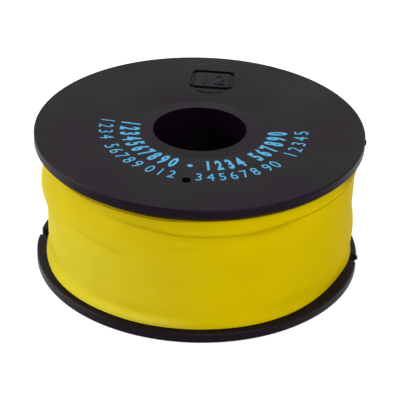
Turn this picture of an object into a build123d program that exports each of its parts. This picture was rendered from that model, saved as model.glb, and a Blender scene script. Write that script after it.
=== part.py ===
"""Air core inductor: a flanged plastic bobbin, its copper winding and the tape round it.

The model stands on its lower flange. The origin is the middle of the underside and +Z runs
up the bore. The two lead slots lie on the X axis, the lead hole at -Y and the sunk mark at
+Y. All sizes are in millimetres.
"""
from build123d import *
import os

# Bobbin: hub and flanges
FLANGE_RADIUS = 47.5
FLANGE_THICKNESS = 2.9
WINDING_WIDTH = 36.4          # clear width between the two flanges
BORE_RADIUS = 13.5
HUB_WALL = 2.3
HUB_FACE_RADIUS = 17.8        # ring round each mouth of the bore
HUB_FACE_RISE = 0.1           # of that ring, towards the bore
DISH_RADIUS = 40.0            # the outer faces sink a little from here in to the ring
DISH_DEPTH = 0.55
EDGE_CHAMFER = 0.3            # broken edge of the rims and of the slots
ROOT_CHAMFER = 0.6            # between the hub and each flange

# Bobbin: lead slots in the lower flange
SLOT_WIDTH = 3.3
SLOT_END_GAP = 0.8            # from the ring to the closed end of a slot
SLOT_MOUTH_RADIUS = 1.2
SLOT_ANGLES = (0, 180)

# Bobbin: lead hole in the upper flange
LEAD_HOLE_WIDTH = 2.4
LEAD_HOLE_LENGTH = 3.1        # along the flange's radius
LEAD_HOLE_REACH = 31.1        # from the axis of the bobbin to the middle of the hole
LEAD_HOLE_ANGLE = -90

# Bobbin: sunk outline of the moulder's mark on the upper flange, its field left bare
MARK_WIDTH = 12.8
MARK_LENGTH = 12.2            # along the flange's radius
MARK_REACH = 31.9             # from the axis of the bobbin to the middle of the mark
MARK_ANGLE = 90
MARK_CORNER_RADIUS = 1.6
MARK_SIDE_LINE = 1.1          # width of the groove along the two sides
MARK_END_LINE = 1.6           # and across the two ends
MARK_LINE_DEPTH = 0.6
MARK_ARC_RADIUS = 8.6         # shallow arc on the bore side of the outline
MARK_ARC_SWEEP = 52           # degrees
MARK_ARC_WIDTH = 0.5
MARK_ARC_DEPTH = 0.25

# Winding
WIRE_DIAMETER = 1.47          # over the enamel
LAYER_PITCH = 1.45
HUB_CLEARANCE = 0.1           # between the hub and the first layer
RIM_MARGIN = 3.0              # least width of flange left clear outside the full layers
LAST_LAYER_TURNS = 11         # turns of the part layer, wound against the upper flange
LAST_LAYER_SINK = 0.12        # how far those turns bed between the ones below

# Tape wrap
TAPE_THICKNESS = 0.55         # all turns of the tape together
TAPE_CLEARANCE = 0.05         # between the winding and the tape
TAPE_BOTTOM_GAP = 0.15        # from the lower edge of the tape to its flange
TAPE_TOP_GAP = 1.2            # from the upper edge to its flange
TAPE_FLARE = 0.95             # spread of the lower edge where it meets the flange
TAPE_FLARE_HEIGHT = 4.0
TAPE_SLOPE_HEIGHT = 4.0       # over which the tape comes down from the part layer
TAPE_BEND_RADIUS = 12.0
TAPE_LAP_DEPTH = 6.3          # edge of the last turn, below the upper flange
TAPE_LAP_STEP = 0.35

# Worked out from the sizes above
HUB_RADIUS = BORE_RADIUS + HUB_WALL
GAP_BOTTOM = FLANGE_THICKNESS
GAP_TOP = GAP_BOTTOM + WINDING_WIDTH
OVERALL_HEIGHT = GAP_TOP + FLANGE_THICKNESS
WINDING_INNER_RADIUS = HUB_RADIUS + HUB_CLEARANCE
FULL_LAYERS = int((FLANGE_RADIUS - RIM_MARGIN - WINDING_INNER_RADIUS) / LAYER_PITCH)
WINDING_RADIUS = WINDING_INNER_RADIUS + FULL_LAYERS * LAYER_PITCH
LAST_LAYER_STEP = WIRE_DIAMETER - LAST_LAYER_SINK
LAST_LAYER_RADIUS = WINDING_RADIUS + LAST_LAYER_STEP
LAST_LAYER_BOTTOM = GAP_TOP - LAST_LAYER_TURNS * WIRE_DIAMETER
BORE_EDGE_DEPTH = DISH_DEPTH - HUB_FACE_RISE


def turned(outline, finish, corners, size):
    """Revolve a closed outline in radius and height.

    finish is the operation, fillet or chamfer, that works those corners of it to that size.
    """
    for corner in corners:
        outline = finish(outline.vertices().sort_by_distance(corner)[0], size)
    return revolve(Plane.XZ * outline, Axis.Z)


def placed(shape, angle, reach, height):
    """Move a shape out along the X axis and up, then turn it round the bobbin's axis."""
    return Rot(0, 0, angle) * Pos(reach, 0, height) * shape


def dish_depth(reach):
    """How far an outer face lies below its rim at a distance from the axis."""
    return DISH_DEPTH * ((DISH_RADIUS - reach) / (DISH_RADIUS - HUB_FACE_RADIUS)) ** 2


def bobbin_body():
    """Hub and flanges as one turned form, with a slight dish in both outer faces."""
    low_ring = (HUB_FACE_RADIUS, DISH_DEPTH)
    high_ring = (HUB_FACE_RADIUS, OVERALL_HEIGHT - DISH_DEPTH)
    low_land = (DISH_RADIUS, 0)
    high_land = (DISH_RADIUS, OVERALL_HEIGHT)
    low_bore = (BORE_RADIUS, BORE_EDGE_DEPTH)
    high_bore = (BORE_RADIUS, OVERALL_HEIGHT - BORE_EDGE_DEPTH)
    low_root = (HUB_RADIUS, GAP_BOTTOM)
    high_root = (HUB_RADIUS, GAP_TOP)
    low_rim = [(FLANGE_RADIUS, 0), (FLANGE_RADIUS, GAP_BOTTOM)]
    high_rim = [(FLANGE_RADIUS, GAP_TOP), (FLANGE_RADIUS, OVERALL_HEIGHT)]
    lines = [
        Polyline(low_land, *low_rim, low_root, high_root, *high_rim, high_land),
        TangentArc(high_land, high_ring, tangent=(-1, 0)),
        Polyline(high_ring, high_bore, low_bore, low_ring),
        TangentArc(low_land, low_ring, tangent=(-1, 0)),
    ]
    return turned(make_face(lines), chamfer, [low_root, high_root], ROOT_CHAMFER)


def slot_cutter():
    """Outline of one lead slot along +X, round at its closed end and open past the rim."""
    end_reach = HUB_FACE_RADIUS + SLOT_END_GAP + SLOT_WIDTH / 2
    past_rim = FLANGE_RADIUS + SLOT_WIDTH
    outline = Pos(end_reach, 0) * Circle(SLOT_WIDTH / 2)
    outline += Pos((end_reach + past_rim) / 2, 0) * Rectangle(past_rim - end_reach, SLOT_WIDTH)
    return extrude(outline, GAP_BOTTOM)


def on_rim(edge):
    """True for an edge that runs round the rim of a flange."""
    return edge.geom_type == GeomType.CIRCLE and abs(edge.radius - FLANGE_RADIUS) < 1e-6


def at_slot_mouth(edge):
    """True for an upright edge where a slot opens at the rim of the lower flange."""
    middle = edge.center()
    reach = Vector(middle.X, middle.Y).length
    return middle.Z < GAP_BOTTOM and abs(reach - FLANGE_RADIUS) < 1e-6


def mark_cutter():
    """Rounded outline of the mark with the shallow arc on its bore side, at the top face."""
    inner_length = MARK_LENGTH - 2 * MARK_END_LINE
    inner_width = MARK_WIDTH - 2 * MARK_SIDE_LINE
    line = RectangleRounded(MARK_LENGTH, MARK_WIDTH, MARK_CORNER_RADIUS)
    line -= RectangleRounded(inner_length, inner_width, MARK_CORNER_RADIUS / 2)
    arc_line = CenterArc((0, 0), MARK_ARC_RADIUS, 180 - MARK_ARC_SWEEP / 2, MARK_ARC_SWEEP)
    arc = trace(arc_line, MARK_ARC_WIDTH)
    line_bottom = dish_depth(MARK_REACH) + MARK_LINE_DEPTH
    arc_bottom = dish_depth(MARK_REACH - MARK_ARC_RADIUS) + MARK_ARC_DEPTH
    return extrude(line, -line_bottom) + extrude(arc, -arc_bottom)


def make_bobbin():
    """The whole moulding: body, lead slots, broken edges, lead hole and sunk mark."""
    body = bobbin_body()
    for angle in SLOT_ANGLES:
        body -= Rot(0, 0, angle) * slot_cutter()
    mouths = body.edges().filter_by(Axis.Z).filter_by(at_slot_mouth)
    body = fillet(mouths, SLOT_MOUTH_RADIUS)
    body = chamfer(body.edges().filter_by(on_rim), EDGE_CHAMFER)
    hole = extrude(SlotOverall(LEAD_HOLE_LENGTH, LEAD_HOLE_WIDTH), FLANGE_THICKNESS)
    body -= placed(hole, LEAD_HOLE_ANGLE, LEAD_HOLE_REACH, GAP_TOP)
    body -= placed(mark_cutter(), MARK_ANGLE, MARK_REACH, OVERALL_HEIGHT)
    return body


def make_winding():
    """All turns of the coil as one solid, with the part layer standing out below the upper flange."""
    points = [
        (WINDING_INNER_RADIUS, GAP_BOTTOM),
        (WINDING_RADIUS, GAP_BOTTOM),
        (WINDING_RADIUS, LAST_LAYER_BOTTOM),
        (LAST_LAYER_RADIUS, LAST_LAYER_BOTTOM),
        (LAST_LAYER_RADIUS, GAP_TOP),
        (WINDING_INNER_RADIUS, GAP_TOP),
    ]
    outline = make_face(Polyline(*points, close=True))
    return turned(outline, chamfer, [points[0], points[-1]], ROOT_CHAMFER)


def make_tape_wrap():
    """The tape as one thin shell that follows the winding and spreads at its lower edge."""
    main = WINDING_RADIUS + TAPE_CLEARANCE
    raised = LAST_LAYER_RADIUS + TAPE_CLEARANCE
    bottom = GAP_BOTTOM + TAPE_BOTTOM_GAP
    top = GAP_TOP - TAPE_TOP_GAP
    lap = GAP_TOP - TAPE_LAP_DEPTH
    inside = [
        (main + TAPE_FLARE, bottom),
        (main, bottom + TAPE_FLARE_HEIGHT),
        (main, LAST_LAYER_BOTTOM - TAPE_SLOPE_HEIGHT),
        (raised, LAST_LAYER_BOTTOM),
    ]
    outside = [(radius + TAPE_THICKNESS, height) for radius, height in inside]
    outer = raised + TAPE_THICKNESS
    edges = [(outer, lap), (outer + TAPE_LAP_STEP, lap), (outer + TAPE_LAP_STEP, top), (raised, top)]
    outline = make_face(Polyline(*outside, *edges, *inside[::-1], close=True))
    return turned(outline, fillet, outside[1:], TAPE_BEND_RADIUS)


def main():
    os.makedirs("parts", exist_ok=True)
    nodes = {"bobbin": make_bobbin(), "winding": make_winding(), "tape_wrap": make_tape_wrap()}
    for name, solid in nodes.items():
        solid.label = name
        export_step(solid, f"parts/{name}.step")


main()
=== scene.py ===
import math
import bmesh
import bpy
from mathutils import Matrix, Vector, noise


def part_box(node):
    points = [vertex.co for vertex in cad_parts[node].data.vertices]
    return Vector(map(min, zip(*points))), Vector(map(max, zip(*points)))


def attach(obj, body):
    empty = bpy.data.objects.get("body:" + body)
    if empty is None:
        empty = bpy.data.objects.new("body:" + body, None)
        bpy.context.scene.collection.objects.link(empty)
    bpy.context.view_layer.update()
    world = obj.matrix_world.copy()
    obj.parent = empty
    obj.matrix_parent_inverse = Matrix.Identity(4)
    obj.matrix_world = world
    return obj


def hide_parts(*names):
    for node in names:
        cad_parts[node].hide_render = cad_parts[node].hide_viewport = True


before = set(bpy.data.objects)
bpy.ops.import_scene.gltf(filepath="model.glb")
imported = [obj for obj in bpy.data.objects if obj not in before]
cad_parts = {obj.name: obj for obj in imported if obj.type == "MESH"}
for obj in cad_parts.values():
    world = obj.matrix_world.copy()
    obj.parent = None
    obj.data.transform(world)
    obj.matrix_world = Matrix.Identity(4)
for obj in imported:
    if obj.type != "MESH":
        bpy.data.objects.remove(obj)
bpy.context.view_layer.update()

MM = 0.001
BODY = "root"
WELD_DISTANCE = 0.0005 * MM

# Sizes read from the frame, in metres
BOBBIN_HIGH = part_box("bobbin")[1]
COIL_LOW, COIL_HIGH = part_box("winding")
WRAP_LOW, WRAP_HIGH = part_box("tape_wrap")
FLANGE_RADIUS = BOBBIN_HIGH.x
HEIGHT = BOBBIN_HIGH.z
FLANGE_THICKNESS = COIL_LOW.z
GAP_TOP = COIL_HIGH.z
MIDDLE = Vector((0, 0, HEIGHT / 2))

# The part of a noise's range over which a colour or a roughness changes
NOISE_LOW = 0.3
NOISE_HIGH = 0.7

# Names that join a mesh to its material
MAP_NAME = "surface"
PAINTED_SHADE_NAME = "film_painted_shade"
LEMON_AND_LIGHT_NAME = "film_lemon_and_painted_light"


# ---------------------------------------------------------------- node helpers

def set_inputs(tree, node, inputs):
    """Give each input of a node its value or the socket that feeds it."""
    for socket, value in inputs.items():
        if isinstance(value, bpy.types.NodeSocket):
            tree.links.new(value, node.inputs[socket])
        else:
            node.inputs[socket].default_value = value


def add_node(tree, kind, inputs=None, **settings):
    """Add a node with its settings and inputs."""
    made = tree.nodes.new(kind)
    for name, value in settings.items():
        setattr(made, name, value)
    set_inputs(tree, made, inputs or {})
    return made


def new_material(name):
    """A material with one Principled shader; returns the material, its tree and the shader."""
    material = bpy.data.materials.new(name)
    material.use_nodes = True
    tree = material.node_tree
    return material, tree, tree.nodes["Principled BSDF"]


def set_gloss(shader, specular, tint=(1, 1, 1), coat=0.0, coat_roughness=0.1):
    """Gloss values that are the same all over a surface."""
    shader.inputs["Specular IOR Level"].default_value = specular
    shader.inputs["Specular Tint"].default_value = (*tint, 1)
    shader.inputs["Coat Weight"].default_value = coat
    shader.inputs["Coat Roughness"].default_value = coat_roughness


def noise_at(tree, place, scale, detail):
    """Noise at a place in metres; scale is in cycles per metre."""
    inputs = {"Vector": place, "Scale": scale, "Detail": detail}
    return add_node(tree, "ShaderNodeTexNoise", inputs).outputs[0]


def object_noise(tree, scale, detail):
    """Noise in the object's own space."""
    place = add_node(tree, "ShaderNodeTexCoord").outputs["Object"]
    return noise_at(tree, place, scale, detail)


def surface_noise(tree, scale, detail, stretch=(1, 1, 1)):
    """Noise that follows the piece's own map, finer where the stretch is more than 1."""
    layout = add_node(tree, "ShaderNodeUVMap", uv_map=MAP_NAME).outputs["UV"]
    mapping = add_node(tree, "ShaderNodeMapping", {"Vector": layout, "Scale": stretch})
    return noise_at(tree, mapping.outputs["Vector"], scale, detail)


def shades(tree, factor, *stops):
    """Colour that runs through (place, colour) stops as the factor grows."""
    ramp = add_node(tree, "ShaderNodeValToRGB", {"Fac": factor})
    while len(ramp.color_ramp.elements) < len(stops):
        ramp.color_ramp.elements.new(0.5)
    for element, (place, colour) in zip(ramp.color_ramp.elements, stops):
        element.position = place
        element.color = (*colour, 1)
    return ramp.outputs["Color"]


def clouded(tree, cloud, first, second):
    """Colour that drifts between two shades with a noise."""
    return shades(tree, cloud, (NOISE_LOW, first), (NOISE_HIGH, second))


def spread(tree, value, low, high, out_low, out_high):
    """Move a value from one range to another, smoothly and without passing the ends."""
    inputs = {"Value": value, "From Min": low, "From Max": high, "To Min": out_low, "To Max": out_high}
    return add_node(
        tree, "ShaderNodeMapRange", inputs, interpolation_type="SMOOTHSTEP"
    ).outputs["Result"]


def varied(tree, cloud, low, high):
    """Value that drifts between two others with a noise."""
    return spread(tree, cloud, NOISE_LOW, NOISE_HIGH, low, high)


def combine(tree, operation, *values):
    """One arithmetic step between values or sockets."""
    return add_node(tree, "ShaderNodeMath", dict(enumerate(values)), operation=operation).outputs[0]


def mixed(tree, factor, first, second):
    """Colour between two others."""
    node = add_node(tree, "ShaderNodeMix", {0: factor, 6: first, 7: second}, data_type="RGBA")
    return node.outputs[2]


def attribute(tree, name):
    """Value that the piece's own points carry under a name."""
    return add_node(tree, "ShaderNodeAttribute", attribute_name=name).outputs["Fac"]


def bump(tree, height, depth, normal=None):
    """Bump of a depth in metres, over an earlier bump where one is given."""
    inputs = {"Height": height, "Distance": depth, "Strength": 1.0}
    if normal is not None:
        inputs["Normal"] = normal
    return add_node(tree, "ShaderNodeBump", inputs).outputs["Normal"]


# ---------------------------------------------------------------- mesh helpers

def link_object(name, data):
    """Put new data in the scene as an object at the origin."""
    made = bpy.data.objects.new(name, data)
    bpy.context.scene.collection.objects.link(made)
    return made


def result_mesh(carrier):
    """What an object comes to, as a plain mesh; the object itself is removed."""
    graph = bpy.context.evaluated_depsgraph_get()
    mesh = bpy.data.meshes.new_from_object(carrier.evaluated_get(graph))
    bpy.data.objects.remove(carrier)
    return mesh


def mesh_from(work, name):
    """Plain mesh from a bmesh that is ready; the bmesh is freed."""
    mesh = bpy.data.meshes.new(name)
    work.to_mesh(mesh)
    work.free()
    return mesh


def join_meshes(name, meshes):
    """One mesh from several."""
    work = bmesh.new()
    for mesh in meshes:
        work.from_mesh(mesh)
        bpy.data.meshes.remove(mesh)
    return mesh_from(work, name)


def outward(mesh):
    """Merge doubles and turn every face of a closed mesh outward."""
    work = bmesh.new()
    work.from_mesh(mesh)
    bmesh.ops.remove_doubles(work, verts=work.verts, dist=WELD_DISTANCE)
    bmesh.ops.recalc_face_normals(work, faces=work.faces)
    work.to_mesh(mesh)
    work.free()


def turned_mesh(name, outline, steps):
    """Closed ring made by turning a closed outline of (radius, height) points."""
    verts = []
    for step in range(steps):
        angle = math.tau * step / steps
        for radius, height in outline:
            verts.append((radius * math.cos(angle), radius * math.sin(angle), height))
    count = len(outline)
    faces = []
    for step in range(steps):
        here = step * count
        there = (step + 1) % steps * count
        for place in range(count):
            after = (place + 1) % count
            faces.append((here + place, there + place, there + after, here + after))
    mesh = bpy.data.meshes.new(name)
    mesh.from_pydata(verts, [], faces)
    return mesh


def box_mesh(name, low, high):
    """Closed box between two opposite corners."""
    work = bmesh.new()
    place = Matrix.Translation((low + high) / 2) @ Matrix.Diagonal((*(high - low), 1))
    bmesh.ops.create_cube(work, size=1, matrix=place)
    return mesh_from(work, name)


def finish_piece(name, mesh, material, stands_for=None, sharp=40):
    """Make a mesh a piece that rides on the body; edges of more than sharp degrees stay sharp."""
    mesh.materials.append(material)
    mesh.shade_smooth()
    mesh.set_sharp_from_angle(angle=math.radians(sharp))
    piece = link_object(name, mesh)
    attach(piece, BODY)
    if stands_for:
        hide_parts(stands_for)


# ---------------------------------------------------------------- materials

def moulded_black():
    """Black moulded plastic: a fine spark-eroded grain, slightly rubbed here and there."""
    material, tree, shader = new_material("moulded_black")
    cloud = object_noise(tree, 55, 3)
    grain = object_noise(tree, 2600, 2)
    set_inputs(tree, shader, {
        "Base Color": clouded(tree, cloud, (0.0024, 0.0009, 0.0030), (0.0036, 0.0015, 0.0044)),
        "Roughness": varied(tree, cloud, 0.36, 0.46),
        "Normal": bump(tree, grain, 0.02 * MM),
    })
    set_gloss(shader, 0.089, (1, 0.8, 1))
    return material


def printing_ink():
    """Pale blue pad ink, thin enough for the grain of the plastic to break it."""
    material, tree, shader = new_material("printing_ink")
    cover = object_noise(tree, 1500, 3)
    cloud = object_noise(tree, 160, 2)
    thickness = combine(tree, "MULTIPLY_ADD", cloud, 0.3, cover)
    broken = (0.38, (0.025, 0.150, 0.275))
    thin = (0.5, (0.068, 0.345, 0.580))
    full = (0.8, (0.080, 0.382, 0.630))
    set_inputs(tree, shader, {
        "Base Color": shades(tree, thickness, broken, thin, full),
        "Roughness": 0.5,
    })
    set_gloss(shader, 0.15)
    return material


def yellow_film():
    """Yellow polyester film: a soft gloss, fine stretch lines and faint uneven colour.

    The piece's points carry how lemon its colour is, partly where more turns lie on each other and
    partly painted light, and how much painted shade deepens its colour beside edges, along pressed
    lines and below the flange.
    """
    material, tree, shader = new_material("yellow_film")
    cloud = object_noise(tree, 60, 2)
    stretch_lines = surface_noise(tree, 90, 3, (1, 14, 1))
    peel = surface_noise(tree, 420, 2)
    golden = clouded(tree, cloud, (0.565, 0.420, 0.0004), (0.612, 0.460, 0.0006))
    # partly painted light: paler and brighter than the golden film
    lemon_and_painted_light = clouded(tree, cloud, (0.594, 0.499, 0.026), (0.634, 0.539, 0.032))
    clear = mixed(tree, attribute(tree, LEMON_AND_LIGHT_NAME), golden, lemon_and_painted_light)
    # painted shade: the deeper colour of the film where it lies in shade
    painted_shade_colour = clouded(tree, peel, (0.13, 0.055, 0.0004), (0.17, 0.075, 0.0006))
    lines = bump(tree, stretch_lines, 0.03 * MM)
    set_inputs(tree, shader, {
        "Base Color": mixed(tree, attribute(tree, PAINTED_SHADE_NAME), clear, painted_shade_colour),
        "Roughness": varied(tree, stretch_lines, 0.33, 0.42),
        "Metallic": 0.1,
        "Normal": bump(tree, peel, 0.008 * MM, lines),
    })
    set_gloss(shader, 0.003, (1, 0.75, 0.01))
    return material


def enamelled_copper():
    """Copper wire under clear reddish enamel, its base colour far darker than bright copper: painted
    shade for the turns that show in the shaded gap below the upper flange.
    """
    material, tree, shader = new_material("enamelled_copper")
    cloud = object_noise(tree, 260, 2)
    set_inputs(tree, shader, {
        "Base Color": clouded(tree, cloud, (0.15, 0.040, 0.012), (0.22, 0.066, 0.022)),
        "Roughness": varied(tree, cloud, 0.25, 0.34),
        "Metallic": 0.75,
    })
    set_gloss(shader, 0.5, coat=0.6, coat_roughness=0.12)
    return material


# ---------------------------------------------------------------- copper turns

# In metres
TURN_RADIUS = 0.72 * MM
FIRST_LAYER_RADIUS = 16.625 * MM
LAYER_PITCH = 1.45 * MM
LAYER_STAGGER = 0.3 * MM                 # every second layer starts this much further in
LAYERS = 19
TURNS_PER_LAYER = 24
LAST_LAYER_TURNS = 11
FULL_LAYER_RADIUS = FIRST_LAYER_RADIUS + (LAYERS - 1) * LAYER_PITCH
LAST_LAYER_RADIUS = COIL_HIGH.x - TURN_RADIUS
CORE_END_INSET = 1.2 * TURN_RADIUS       # from both ends of the winding
CORE_INNER_MARGIN = 0.6 * TURN_RADIUS    # inward from the middle of the first layer's turns
CORE_OUTER_INSET = 0.2 * TURN_RADIUS     # inward from the middle of the last full layer's turns
RING_SIDES = 96
WIRE_SIDES = 9


def new_tree(name, *sockets):
    """A geometry tree with one geometry output and (kind, name) inputs."""
    tree = bpy.data.node_groups.new(name, "GeometryNodeTree")
    tree.interface.new_socket("Geometry", in_out="OUTPUT", socket_type="NodeSocketGeometry")
    for kind, label in sockets:
        tree.interface.new_socket(label, in_out="INPUT", socket_type=kind)
    return tree


def turn_row_tree():
    """Geometry tree for one row of round turns, each row given by its first turn and its steps."""
    tree = new_tree(
        "turn_row",
        ("NodeSocketInt", "Turns"),
        ("NodeSocketFloat", "First Radius"),
        ("NodeSocketFloat", "Radius Step"),
        ("NodeSocketFloat", "First Height"),
        ("NodeSocketFloat", "Height Step"),
        ("NodeSocketFloat", "Stagger"),
        ("NodeSocketFloat", "Wire Radius"),
        ("NodeSocketMaterial", "Material"),
    )
    given = tree.nodes.new("NodeGroupInput").outputs
    number = add_node(tree, "GeometryNodeInputIndex").outputs["Index"]
    reach = combine(tree, "MULTIPLY_ADD", number, given["Radius Step"], given["First Radius"])
    rise = combine(tree, "MULTIPLY_ADD", number, given["Height Step"], given["First Height"])
    odd = combine(tree, "MODULO", number, 2.0)
    height = combine(tree, "MULTIPLY_ADD", odd, given["Stagger"], rise)
    spot = add_node(tree, "ShaderNodeCombineXYZ", {"Z": height}).outputs[0]
    size = add_node(tree, "ShaderNodeCombineXYZ", {"X": reach, "Y": reach, "Z": 1.0}).outputs[0]
    points = add_node(tree, "GeometryNodePoints", {"Count": given["Turns"], "Position": spot})
    circle = add_node(
        tree, "GeometryNodeCurvePrimitiveCircle", {"Resolution": RING_SIDES, "Radius": 1.0}
    )
    rings = add_node(
        tree, "GeometryNodeInstanceOnPoints",
        {"Points": points.outputs[0], "Instance": circle.outputs["Curve"], "Scale": size},
    )
    real = add_node(tree, "GeometryNodeRealizeInstances", {"Geometry": rings.outputs[0]})
    section = add_node(
        tree, "GeometryNodeCurvePrimitiveCircle",
        {"Resolution": WIRE_SIDES, "Radius": given["Wire Radius"]},
    )
    wire = add_node(
        tree, "GeometryNodeCurveToMesh",
        {"Curve": real.outputs[0], "Profile Curve": section.outputs["Curve"]},
    )
    dressed = add_node(
        tree, "GeometryNodeSetMaterial", {"Geometry": wire.outputs[0], "Material": given["Material"]}
    )
    add_node(tree, "NodeGroupOutput", {"Geometry": dressed.outputs[0]})
    return tree


def row_mesh(
    tree, material, turns, first_radius, first_height, radius_step=0.0, height_step=0.0, stagger=0.0
):
    """Run the tree once for a row of turns and return its result as a plain mesh."""
    values = {
        "Turns": turns,
        "First Radius": first_radius,
        "Radius Step": radius_step,
        "First Height": first_height,
        "Height Step": height_step,
        "Stagger": stagger,
        "Wire Radius": TURN_RADIUS,
        "Material": material,
    }
    carrier = link_object("turn_row", bpy.data.meshes.new("turn_row"))
    modifier = carrier.modifiers.new("turns", "NODES")
    modifier.node_group = tree
    for item in tree.interface.items_tree:
        if item.in_out == "INPUT":
            modifier[item.identifier] = values[item.name]
    return result_mesh(carrier)


def coil_core():
    """Closed ring that stands for the inner turns, just inside the turns that can be seen."""
    inner = FIRST_LAYER_RADIUS - CORE_INNER_MARGIN
    outer = FULL_LAYER_RADIUS - CORE_OUTER_INSET
    low = COIL_LOW.z + CORE_END_INSET
    high = COIL_HIGH.z - CORE_END_INSET
    corners = [(inner, low), (outer, low), (outer, high), (inner, high)]
    return turned_mesh("coil_core", corners, RING_SIDES)


def make_copper_turns(material):
    """The turns that show at the slots and the lead hole, over a core of the coil's form."""
    tree = turn_row_tree()
    low = COIL_LOW.z + TURN_RADIUS
    high = COIL_HIGH.z - TURN_RADIUS
    face = {"turns": LAYERS, "first_radius": FIRST_LAYER_RADIUS, "radius_step": LAYER_PITCH}
    side = {
        "turns": TURNS_PER_LAYER,
        "first_radius": FULL_LAYER_RADIUS,
        "first_height": low,
        "height_step": (high - low) / (TURNS_PER_LAYER - 1),
    }
    part_layer = {
        "turns": LAST_LAYER_TURNS,
        "first_radius": LAST_LAYER_RADIUS,
        "first_height": high,
        "height_step": -2 * TURN_RADIUS,
    }
    rows = [
        row_mesh(tree, material, **face, first_height=low, stagger=LAYER_STAGGER),
        row_mesh(tree, material, **face, first_height=high, stagger=-LAYER_STAGGER),
        row_mesh(tree, material, **side),
        row_mesh(tree, material, **part_layer),
        coil_core(),
    ]
    mesh = join_meshes("copper_turns", rows)
    outward(mesh)
    finish_piece("copper_turns", mesh, material, "winding")


# ---------------------------------------------------------------- yellow wrap

# The sizes of the wrap are in millimetres and degrees, an angle turning from +X towards +Y. A pair
# holds the start and the end of a smooth rise or fall, where nothing else is said.
FRONT = -78                              # angle of the wrap's front

# Form of the wrap under its last turn
FILM = 0.22
SHOULDER = 45.05                         # radius over the part layer
LEAST_RADIUS = 43.75                     # radius where the film lies tight on the full layers
FALL = 0.6                               # from the shoulder to the waist, at the front
SIDE_FALL = 0.95                         # and away from it
FALL_SIDES = (15, 45)
SLOPE = (8.0, 28.5)                      # heights of that fall, at the front
SIDE_SLOPE = (18.8, 24.9)                # and away from it
SLOPE_SIDES = (58, 82)
FLARE_TOP = 6.8                          # the foot spreads from here down
FLARE_HEIGHT = 3.8
FLARE_CURVE = 1.6
TIGHT_ANGLE = -27                        # where the foot hardly spreads
TIGHT_REACH = 22
TIGHT_SHARE = 0.8
# (angle, height, reach in degrees, reach in height, depth)
SWELLS = [
    (-182, 25.5, 22, 4.0, 0.8),
    (-167, 13.0, 42, 7.0, -0.12),
    (-172, 5.0, 22, 3.5, -0.65),
    (-140, 3.0, 22, 3.0, 0.3),
    (12, 11.5, 22, 9.3, 1.8),
    (-38, 5.5, 15, 2.5, -0.25),
    (-118, 5.6, 14, 1.6, -0.12),
    (-105, 3.8, 15, 1.3, 0.25),
    (-16, 3.0, 13, 1.6, -0.5),
    (2, 24.0, 25, 3.5, -0.35),
    (60, 20.0, 30, 9.0, 0.35),
    (120, 9.0, 34, 7.0, 0.6),
    (150, 22.0, 25, 8.0, -0.2),
]
# (angle, height) at both ends, width and depth of each pressed line
CREASES = [
    ((-137, 25.4), (-110, 23.5), 0.7, 0.10),
    ((-95, 28.2), (-83, 28.2), 0.7, 0.07),
]
CREASE_START = (-0.25, 0.2)              # in shares of its length
CREASE_END = (0.8, 1.25)
# (depth, fineness, height that counts as much as one radian) of the film's unevenness
RIPPLES = [(0.08, 3.4, 30), (0.03, 9.0, 18)]

# Upper edge, and the strip by which the last turn falls short of it
TOP_GAP = 0.3                            # from the top of the tape in the frame
TOP_WAVE = 0.06
TOP_WAVES = 3
STRIP_ANGLE = -118
STRIP_START = (-50, -32)
STRIP_END = (16, 40)
LEAST_STRIP = 0.04
STRIP_WIDTH = 0.6
STRIP_GAIN = 0.3                         # wider at the left
STRIP_LEFT = (-4, 12)

# Last turn: height of its lower edge at the front, and (side, from, to, rise) away from it
LAP_HEIGHT = 32.75
LAP_RISES = [(-1, 10, 28, 1.1), (-1, 28, 60, 2.2), (1, 8, 32, 1.1), (1, 62, 84, -3.0)]
LAP_START = (-60, -30)
LAP_END = (110, 150)
LEAST_STAND = 0.02                       # how far the last turn stands out
LAP_STAND = 0.25
LAP_STAND_GAIN = 0.3                     # more at the right
LAP_STAND_RIGHT = (10, 75)
EDGE_STAND = 0.6                         # share of the stand that the edge itself has
EDGE_ROUND = 0.8                         # height over which the edge is rounded
UPPER_TURN = 0.2                         # thickness that is missing on the strip
# (share of the stand by which the film is drawn in, how far from the edge, reach)
PULL_BELOW = (0.5, 0.0, 0.45)
PULL_ABOVE = (0.45, 1.8, 1.1)

# Loose end
END_ANGLE = 104.0
END_GAP = 0.2
END_SLANT = 0.05                         # for each millimetre of height

# Steps between the points of the wrap, which are closer together beside the edge of the last turn
WRAP_COLUMNS = 420
FOOT_STEPS = 64
CLOSE_BELOW = 2.5                        # height of the closer stretch below the edge
BELOW_STEPS = 14
CLOSE_ABOVE = 1.5                        # and above it
ABOVE_STEPS = 10
CLOSE_GAP = 0.2                          # from each closer stretch to the next point
HEAD_STEPS = 12
STRIP_STEPS = 4
INNER_STEPS = 14

# Painted shade, which deepens the film's colour. A triple holds its values at the left, the front and
# the right of the last turn's edge, which is soft, plain and crisp there.
SHADE_START = (-50, -28)
SHADE_END = (90, 130)
SOFT_LEFT = (10, 28)
CRISP_RIGHT = (22, 34)
EDGE_SHADE = (0.07, 0.12, 0.50)
EDGE_REACH = (0.64, 0.34, 0.34)
HAZE_SHADE = 0.15                        # painted shade round the edge, wider than the edge's own line
HAZE_GAIN = 0.12                         # deeper at the right
HAZE_RIGHT = (0, 16)
HAZE_PLACE = (0.5, -0.3, -0.3)           # above the edge
HAZE_REACH = 1.2
BAND_SHADE = 0.7                         # painted shadow of the flange, in a band below it at the right
BAND_RIGHT = (49, 64)
BAND_HEIGHT = 36.4
BAND_REACH = 1.8
STRIP_SHADE = 0.5                        # painted shade on the strip, partly the thinner film over the copper; for each millimetre of its width
STRIP_BLUR = 0.15
CREASE_SHADE = 0.9                       # painted shade in the pressed lines, for each millimetre of depth
# painted shade of the flange along the wrap's upper edge
TOP_SHADE = 0.25
TOP_REACH = 0.35

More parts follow.
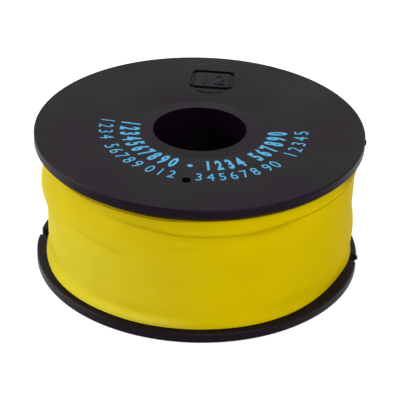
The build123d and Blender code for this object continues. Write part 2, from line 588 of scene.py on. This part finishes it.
# Lemon colour on the left side, less of it higher up, and round a place at the foot: partly more turns
# on each other, partly painted light, paler and brighter where the film is lit
LEMON_ANGLE = -160
LEMON_SIDES = (12, 90)
LEMON_LOSS = 0.55
LEMON_UPPER = (19, 31)
FOOT_ANGLE = -122
FOOT_SIDES = (20, 44)
FOOT_UPPER = (4.6, 6.6)


def smooth_step(ends, value):
    """0 before the first end, 1 past the second and a smooth rise between them."""
    low, high = ends
    share = min(max((value - low) / (high - low), 0.0), 1.0)
    return share * share * (3 - 2 * share)


def smooth_fall(ends, value):
    """1 before the first end, 0 past the second and a smooth fall between them."""
    return 1 - smooth_step(ends, value)


def turn_between(first, second):
    """Signed angle from the second to the first, from -180 to 180."""
    return (first - second + 180) % 360 - 180


def hump(distance, reach):
    """Smooth hump of height 1."""
    return math.exp(-(distance / reach) ** 2)


def blend(first, second, share):
    """Value between two others."""
    return first + (second - first) * share


def by_side(values, left, right):
    """Value between those of the left, the front and the right."""
    at_left, at_front, at_right = values
    return at_front + (at_left - at_front) * left + (at_right - at_front) * right


def crease_depth(angle, height):
    """Depth of the pressed lines at a place on the wrap."""
    depth = 0.0
    for (first, first_height), (last, last_height), width, press in CREASES:
        along = turn_between(angle, first) / (last - first)
        line = blend(first_height, last_height, along)
        ends = smooth_step(CREASE_START, along) * smooth_fall(CREASE_END, along)
        depth += press * ends * hump(height - line, width)
    return depth


def lap_height(angle):
    """Height of the lower edge of the last turn."""
    facing = turn_between(angle, FRONT)
    height = LAP_HEIGHT
    for side, start, end, rise in LAP_RISES:
        height += rise * smooth_step((start, end), side * facing)
    return height


def lap_stand(angle):
    """How far the last turn stands out over the one below."""
    facing = turn_between(angle, FRONT)
    shown = smooth_step(LAP_START, facing) * smooth_fall(LAP_END, facing)
    return LEAST_STAND + shown * (LAP_STAND + LAP_STAND_GAIN * smooth_step(LAP_STAND_RIGHT, facing))


def strip_height(angle):
    """Width of the strip by which the last turn falls short of the wrap's upper edge."""
    facing = turn_between(angle, STRIP_ANGLE)
    shown = smooth_step(STRIP_START, facing) * smooth_fall(STRIP_END, facing)
    return LEAST_STRIP + shown * (STRIP_WIDTH + STRIP_GAIN * smooth_step(STRIP_LEFT, -facing))


def wrap_top(angle):
    """Height of the wrap's upper edge, which lies a little below its flange."""
    return WRAP_HIGH.z / MM - TOP_GAP - TOP_WAVE * math.sin(math.radians(TOP_WAVES * angle))


def wrap_radius(angle, height):
    """Outer radius of the wrap under its last turn."""
    facing = abs(turn_between(angle, FRONT))
    aside = smooth_step(SLOPE_SIDES, facing)
    slope = [blend(front, side, aside) for front, side in zip(SLOPE, SIDE_SLOPE)]
    fall = blend(FALL, SIDE_FALL, smooth_step(FALL_SIDES, facing))
    flare = fall * (1 - TIGHT_SHARE * hump(turn_between(angle, TIGHT_ANGLE), TIGHT_REACH))
    radius = SHOULDER - fall * smooth_fall(slope, height)
    radius += flare * max((FLARE_TOP - height) / FLARE_HEIGHT, 0.0) ** FLARE_CURVE
    for centre, level, reach, rise, depth in SWELLS:
        radius += depth * hump(turn_between(angle, centre), reach) * hump(height - level, rise)
    radius -= crease_depth(angle, height)
    turn = math.radians(angle)
    for depth, fineness, level in RIPPLES:
        place = Vector((math.cos(turn), math.sin(turn), height / level)) * fineness
        radius += depth * noise.noise(place)
    return max(radius, LEAST_RADIUS)


def drawn_in(pull, stand, distance):
    """How far the film is drawn in at a distance from the edge of the last turn."""
    share, place, reach = pull
    return share * stand * hump(distance - place, reach)


def between(low, high, steps):
    """Evenly spaced heights, both ends included."""
    return [low + (high - low) * step / steps for step in range(steps + 1)]


def wrap_outline(angle):
    """Closed outline of the wrap at one angle, as its outer and its inner points."""
    bottom = WRAP_LOW.z / MM
    top = wrap_top(angle)
    edge = top - strip_height(angle)
    lap = lap_height(angle)
    stand = lap_stand(angle)
    low = lap - CLOSE_BELOW
    high = lap + CLOSE_ABOVE
    outer = []
    for height in between(bottom, low, FOOT_STEPS) + between(low + CLOSE_GAP, lap, BELOW_STEPS):
        outer.append((wrap_radius(angle, height) - drawn_in(PULL_BELOW, stand, lap - height), height))
    for height in between(lap, high, ABOVE_STEPS) + between(high + CLOSE_GAP, edge, HEAD_STEPS):
        out = stand * blend(EDGE_STAND, 1, smooth_step((0, EDGE_ROUND), height - lap))
        out -= drawn_in(PULL_ABOVE, stand, height - lap)
        outer.append((wrap_radius(angle, height) + out, height))
    for height in between(edge, top, STRIP_STEPS):
        outer.append((wrap_radius(angle, height) + max(stand - UPPER_TURN, 0.0), height))
    inner = []
    for height in between(top, bottom, INNER_STEPS):
        inner.append((wrap_radius(angle, height) - FILM, height))
    return outer, inner


def edge_shade(angle, height):
    """Painted shade along the edge of the last turn, and a painted shadow below the flange at the
    right.
    """
    facing = turn_between(angle, FRONT)
    soft = smooth_step(SOFT_LEFT, -facing)
    crisp = smooth_step(CRISP_RIGHT, facing)
    line = height - lap_height(angle)
    shade = by_side(EDGE_SHADE, soft, crisp) * hump(line, by_side(EDGE_REACH, soft, crisp))
    haze = (HAZE_SHADE + HAZE_GAIN * smooth_step(HAZE_RIGHT, facing)) * (1 - crisp)
    shade += haze * hump(line - by_side(HAZE_PLACE, soft, crisp), HAZE_REACH)
    # painted shadow of the flange at the right
    shade += BAND_SHADE * smooth_step(BAND_RIGHT, facing) * hump(height - BAND_HEIGHT, BAND_REACH)
    return shade * smooth_step(SHADE_START, facing) * smooth_fall(SHADE_END, facing)


def film_painted_shade(angle, height):
    """How much painted shade deepens the film's colour at a place, from 0 to 1; on the strip it also
    stands for the thinner film over the copper.
    """
    top = wrap_top(angle)
    strip = strip_height(angle)
    strip_edge = (top - strip - STRIP_BLUR, top - strip)
    shade = edge_shade(angle, height)
    shade += STRIP_SHADE * strip * smooth_step(strip_edge, height)
    shade += CREASE_SHADE * crease_depth(angle, height)
    # painted shade of the flange at the upper edge
    shade += TOP_SHADE * hump(height - top, TOP_REACH)
    return shade


def film_lemon_and_painted_light(angle, height):
    """Where the film looks lemon yellow, from 0 to 1: partly where more turns lie on each other,
    partly painted light, paler and brighter on the lit left side and at the foot.
    """
    side = smooth_fall(LEMON_SIDES, abs(turn_between(angle, LEMON_ANGLE)))
    side *= 1 - LEMON_LOSS * smooth_step(LEMON_UPPER, height)
    foot = smooth_fall(FOOT_SIDES, abs(turn_between(angle, FOOT_ANGLE)))
    foot *= smooth_fall(FOOT_UPPER, height)
    return max(side, foot)


def wrap_ring(work, share):
    """Points of the wrap in one upright section, a share of the way round from its loose end."""
    shade = work.verts.layers.float[PAINTED_SHADE_NAME]
    lemon_and_painted_light = work.verts.layers.float[LEMON_AND_LIGHT_NAME]
    angle = END_ANGLE + END_GAP / 2 + (360 - END_GAP) * share
    outer, inner = wrap_outline(angle)
    wound_on = [(radius + FILM * share, height) for radius, height in outer]
    ring = []
    for radius, height in wound_on + inner:
        turn = math.radians(angle + END_SLANT * (height - WRAP_LOW.z / MM))
        spot = Vector((radius * math.cos(turn), radius * math.sin(turn), height)) * MM
        vertex = work.verts.new(spot)
        vertex[shade] = film_painted_shade(angle, height)
        vertex[lemon_and_painted_light] = film_lemon_and_painted_light(angle, height)
        ring.append(vertex)
    return ring


def join_rings(work, rings):
    """Faces from each ring to the next, and their places on the piece's map, in metres."""
    layout = work.loops.layers.uv[MAP_NAME]
    count = len(rings[0])
    for column, here in enumerate(rings):
        there = rings[(column + 1) % len(rings)]
        for place in range(count):
            after = (place + 1) % count
            face = work.faces.new((here[place], there[place], there[after], here[after]))
            for loop, step in zip(face.loops, (0, 1, 1, 0)):
                arc = math.tau * FLANGE_RADIUS * (column + step) / len(rings)
                loop[layout].uv = (arc, loop.vert.co.z)


def make_yellow_wrap(material):
    """The tape as one closed shell: bulges, a lapped last turn, pressed lines and a loose end."""
    work = bmesh.new()
    work.loops.layers.uv.new(MAP_NAME)
    work.verts.layers.float.new(PAINTED_SHADE_NAME)
    work.verts.layers.float.new(LEMON_AND_LIGHT_NAME)
    join_rings(work, [wrap_ring(work, column / (WRAP_COLUMNS - 1)) for column in range(WRAP_COLUMNS)])
    mesh = mesh_from(work, "yellow_wrap")
    finish_piece("yellow_wrap", mesh, material, "tape_wrap", sharp=50)


# ---------------------------------------------------------------- forms on the upper face

# Printed numbers, in metres and degrees: their arcs have one centre, a little off the bore's
PRINT_CENTRE = Vector((1.2 * MM, -0.9 * MM, 0))
PRINT_HEIGHT = 0.03 * MM
PRINT_SINK = 0.02 * MM
NUMERAL_CAP = 0.73                       # height of a numeral before it is scaled
NUMERAL_HALF = 0.5                       # half its thickness before it is scaled
NUMERAL_STEPS = 5
BOLD = {"radius": 24.0 * MM, "height": 6.0 * MM, "width_share": 0.52, "weight": 0.04}
THIN = {"radius": 30.0 * MM, "height": 4.3 * MM, "width_share": 0.78, "weight": 0.0}
# (lettering, text, angle of the first and of the last numeral)
PRINT_RUNS = [
    (BOLD, "1234567890", -183.0, -106.5),
    (BOLD, "1234", -80.0, -55.0),
    (BOLD, "567890", -40.0, 3.0),
    (THIN, "1234", -183.0, -162.0),
    (THIN, "56789", -150.5, -124.0),
    (THIN, "012", -115.0, -101.5),
    (THIN, "345678", -86.0, -53.0),
    (THIN, "90", -44.5, -38.5),
    (THIN, "12345", -23.5, 4.5),
]
DOT_RADIUS = 0.8 * MM
DOT_REACH = 21.6 * MM
DOT_ANGLE = -93.3
DOT_SIDES = 24

# Cavity number inside the sunk outline, in metres
CAVITY_NUMBER = "12"
CAVITY_X = 0.2 * MM
CAVITY_Y = 32.2 * MM
CAVITY_HEIGHT = 6.4 * MM
CAVITY_WIDTH_SHARE = 0.8
CAVITY_PITCH = 4.6 * MM
CAVITY_RISE = 0.18 * MM

# Ribs along the side grooves of the sunk outline, in metres from the bobbin's axis
RIB_X = 5.85 * MM
RIB_HALF_WIDTH = 0.3 * MM
RIB_NEAR = 28.0 * MM
RIB_FAR = 35.8 * MM
RIB_RISE = 0.5 * MM


def glyph_mesh(character, height, width_share, weight, thickness):
    """One numeral as a closed mesh, standing on y = 0 and centred on x = 0."""
    curve = bpy.data.curves.new("glyph", "FONT")
    curve.body = character
    curve.size = 1.0
    curve.offset = weight
    curve.extrude = NUMERAL_HALF
    curve.resolution_u = NUMERAL_STEPS
    mesh = result_mesh(link_object("glyph", curve))
    bpy.data.curves.remove(curve)
    sides = [vertex.co.x for vertex in mesh.vertices]
    middle = (min(sides) + max(sides)) / 2
    scale = height / (NUMERAL_CAP + 2 * weight)
    grow = Matrix.Diagonal((scale * width_share, scale, thickness, 1))
    mesh.transform(grow @ Matrix.Translation((-middle, weight, NUMERAL_HALF)))
    return mesh


def on_arc(mesh, radius, angle):
    """Stand a form of the printing on its arc, with its top to the arc's centre."""
    centre = PRINT_CENTRE + Vector((0, 0, HEIGHT - PRINT_SINK))
    turn = Matrix.Rotation(math.radians(angle) + math.pi / 2, 4, "Z")
    mesh.transform(Matrix.Translation(centre) @ turn @ Matrix.Translation((0, -radius, 0)))
    return mesh


def number_run(text, first_angle, last_angle, radius, height, width_share, weight):
    """A run of numerals, evenly spaced along an arc of the printing."""
    step = (last_angle - first_angle) / (len(text) - 1)
    meshes = []
    for place, character in enumerate(text):
        glyph = glyph_mesh(character, height, width_share, weight, PRINT_SINK + PRINT_HEIGHT)
        meshes.append(on_arc(glyph, radius, first_angle + step * place))
    return meshes


def printed_dot():
    """The round dot between the two halves of the bold row."""
    thickness = PRINT_SINK + PRINT_HEIGHT
    outline = [(0.0, 0.0), (DOT_RADIUS, 0.0), (DOT_RADIUS, thickness), (0.0, thickness)]
    return on_arc(turned_mesh("dot", outline, DOT_SIDES), DOT_REACH, DOT_ANGLE)


def lay_on(mesh, carrier):
    """Lower a mesh that was made at the top face's height onto the carrier's own surface."""
    down = Vector((0, 0, -1))
    for vertex in mesh.vertices:
        start = Vector((vertex.co.x, vertex.co.y, HEIGHT + MM))
        hit, place, _, _ = carrier.ray_cast(start, down)
        if hit:
            vertex.co.z += place.z - HEIGHT


def finish_on_face(name, meshes, material, bobbin):
    """Make one piece of forms that lie on the upper flange."""
    mesh = join_meshes(name, meshes)
    outward(mesh)
    lay_on(mesh, bobbin)
    finish_piece(name, mesh, material)


def make_flange_print(material, bobbin):
    """Plain running numbers printed in two rows round the front half of the upper flange."""
    meshes = []
    for lettering, text, first_angle, last_angle in PRINT_RUNS:
        meshes += number_run(text, first_angle, last_angle, **lettering)
    meshes.append(printed_dot())
    finish_on_face("flange_print", meshes, material, bobbin)


def make_mould_number(material, bobbin):
    """A plain cavity number that stands up a little inside the sunk outline."""
    centre = Vector((CAVITY_X, CAVITY_Y, HEIGHT - PRINT_SINK))
    thickness = CAVITY_RISE + PRINT_SINK
    meshes = []
    for place, character in enumerate(CAVITY_NUMBER):
        glyph = glyph_mesh(character, CAVITY_HEIGHT, CAVITY_WIDTH_SHARE, 0.0, thickness)
        shift = Vector(((place - 0.5) * CAVITY_PITCH, -CAVITY_HEIGHT / 2, 0))
        glyph.transform(Matrix.Translation(centre + shift))
        meshes.append(glyph)
    finish_on_face("mould_number", meshes, material, bobbin)


def make_mark_ribs(material, bobbin):
    """A low rib in each side groove of the sunk outline, which leaves a fine line on both sides."""
    meshes = []
    for middle in (-RIB_X, RIB_X):
        low = Vector((middle - RIB_HALF_WIDTH, RIB_NEAR, HEIGHT - PRINT_SINK))
        high = Vector((middle + RIB_HALF_WIDTH, RIB_FAR, HEIGHT + RIB_RISE))
        meshes.append(box_mesh("rib", low, high))
    finish_on_face("mark_ribs", meshes, material, bobbin)


# ---------------------------------------------------------------- mould flash

# Nibs where the two halves of the mould met on each rim. Each has its angle in degrees, the
# underside of its flange in metres, and then in millimetres how far it stays inside the flange's
# lower and upper face, its root and its tip measured from the rim, and half its width. The last
# value is the height of the tip's upper end, as a share of the nib's height.
NIBS = [
    (0.0, GAP_TOP, 1.0, 0.3, -0.5, 0.3, 0.35, 1.0),
    (2.8, 0.0, 0.7, 0.1, -0.5, 0.45, 0.55, 0.4),
    (182.66, 0.0, 0.25, 0.04, -1.3, -0.25, 0.65, 1.0),
    (180.0, GAP_TOP, 0.8, 0.5, -0.5, 0.15, 0.3, 1.0),
]
TIP_START = 0.2                          # height of the tip's lower end, as the same share


def add_nib(work, angle, underside, low_inset, high_inset, root, tip, half_width, tip_end):
    """One nib with upright sides, from its root inside the rim out to its tip."""
    turn = Matrix.Rotation(math.radians(angle), 4, "Z")
    low = underside + low_inset * MM
    high = underside + FLANGE_THICKNESS - high_inset * MM
    tip_heights = [blend(low, high, share) for share in (TIP_START, tip_end)]
    outline = [(root, low), (tip, tip_heights[0]), (tip, tip_heights[1]), (root, high)]
    sides = []
    for across in (-half_width, half_width):
        spots = [Vector((FLANGE_RADIUS + out * MM, across * MM, height)) for out, height in outline]
        sides.append([work.verts.new(turn @ spot) for spot in spots])
    left, right = sides
    work.faces.new(left)
    work.faces.new(right[::-1])
    for place in range(len(outline)):
        after = (place + 1) % len(outline)
        work.faces.new((left[after], left[place], right[place], right[after]))


def make_mould_flash(material):
    """Small nibs of flash on the rims."""
    work = bmesh.new()
    for nib in NIBS:
        add_nib(work, *nib)
    mesh = mesh_from(work, "mould_flash")
    outward(mesh)
    finish_piece("mould_flash", mesh, material, sharp=80)


# ---------------------------------------------------------------- stage

# Floor and surroundings, in metres; the strengths are those of white light
FLOOR_HALF = 4.0
FLOOR_DROP = 0.05 * MM
FLOOR_GLOW = 0.62
WORLD_LIGHT = 0.55                       # on the object
WORLD_SEEN = 1.0                         # behind it and in its gloss

# (name, azimuth and elevation in degrees, distance and size in metres, power in watts)
LAMPS = [
    ("key", 180, 28, 0.9, 0.5, 5.5),
    ("front", -60, 43, 1.0, 0.6, 5.0),
    ("side", 0, 12, 1.0, 0.6, 1.4),
]

# Camera, its angles in degrees and its sensor and lens in millimetres
VIEW_AZIMUTH = -83.9
VIEW_ELEVATION = 29.673
VIEW_ROLL = 1.444
VIEW_REACH = 10.355 * FLANGE_RADIUS
SENSOR = 36
LENS = 150.96
LENS_SHIFT = (0.00446, -0.02191)


def seen_directly(tree):
    """1 for camera, mirror and see-through rays, 0 for the rays that light the object."""
    path = add_node(tree, "ShaderNodeLightPath")
    gloss = combine(tree, "MAXIMUM", path.outputs["Is Camera Ray"], path.outputs["Is Glossy Ray"])
    return combine(tree, "MAXIMUM", gloss, path.outputs["Is Transmission Ray"])


def make_floor():
    """Pale floor that keeps a soft shadow."""
    corners = []
    for x, y in ((-1, -1), (1, -1), (1, 1), (-1, 1)):
        corners.append((x * FLOOR_HALF, y * FLOOR_HALF, -FLOOR_DROP))
    mesh = bpy.data.meshes.new("floor")
    mesh.from_pydata(corners, [], [(0, 1, 2, 3)])
    floor = link_object("floor", mesh)
    material, tree, shader = new_material("pale_floor")
    set_inputs(tree, shader, {
        "Base Color": (0.6, 0.6, 0.6, 1),
        "Roughness": 0.9,
        "Specular IOR Level": 0.0,
        "Emission Color": (1, 1, 1, 1),
        "Emission Strength": combine(tree, "MULTIPLY", seen_directly(tree), FLOOR_GLOW),
    })
    mesh.materials.append(material)


def make_world():
    """Even white surroundings, brighter where they are seen than where they light."""
    world = bpy.data.worlds.new("studio")
    world.use_nodes = True
    tree = world.node_tree
    set_inputs(tree, tree.nodes["Background"], {
        "Color": (1, 1, 1, 1),
        "Strength": spread(tree, seen_directly(tree), 0.0, 1.0, WORLD_LIGHT, WORLD_SEEN),
    })
    bpy.context.scene.world = world


def aimed(azimuth, elevation, reach):
    """Place and turn of a lamp or camera that looks at the object's middle; angles in degrees."""
    around = math.radians(azimuth)
    up = math.radians(elevation)
    out = Vector((math.cos(around) * math.cos(up), math.sin(around) * math.cos(up), math.sin(up)))
    turn = out.to_track_quat("Z", "Y").to_matrix().to_4x4()
    return Matrix.Translation(MIDDLE + out * reach) @ turn


def make_lamp(name, azimuth, elevation, reach, size, power):
    """Square soft lamp that faces the middle of the object."""
    data = bpy.data.lights.new(name, "AREA")
    data.shape = "SQUARE"
    data.size = size
    data.energy = power
    lamp = link_object(name, data)
    lamp.matrix_world = aimed(azimuth, elevation, reach)


def make_camera():
    """Camera at the front of the object, a little above it."""
    data = bpy.data.cameras.new("camera")
    data.sensor_width = SENSOR
    data.lens = LENS
    data.shift_x, data.shift_y = LENS_SHIFT
    camera = link_object("camera", data)
    roll = Matrix.Rotation(math.radians(VIEW_ROLL), 4, "Z")
    camera.matrix_world = aimed(VIEW_AZIMUTH, VIEW_ELEVATION, VIEW_REACH) @ roll
    bpy.context.scene.camera = camera


def main():
    """Dress the bobbin, make every piece and set the stage."""
    plastic = moulded_black()
    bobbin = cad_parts["bobbin"]
    bobbin.data.materials.clear()
    bobbin.data.materials.append(plastic)
    make_copper_turns(enamelled_copper())
    make_yellow_wrap(yellow_film())
    make_flange_print(printing_ink(), bobbin)
    make_mould_number(plastic, bobbin)
    make_mark_ribs(plastic, bobbin)
    make_mould_flash(plastic)
    make_floor()
    make_world()
    for lamp in LAMPS:
        make_lamp(*lamp)
    make_camera()
    bpy.context.scene.view_settings.view_transform = "Standard"


main()
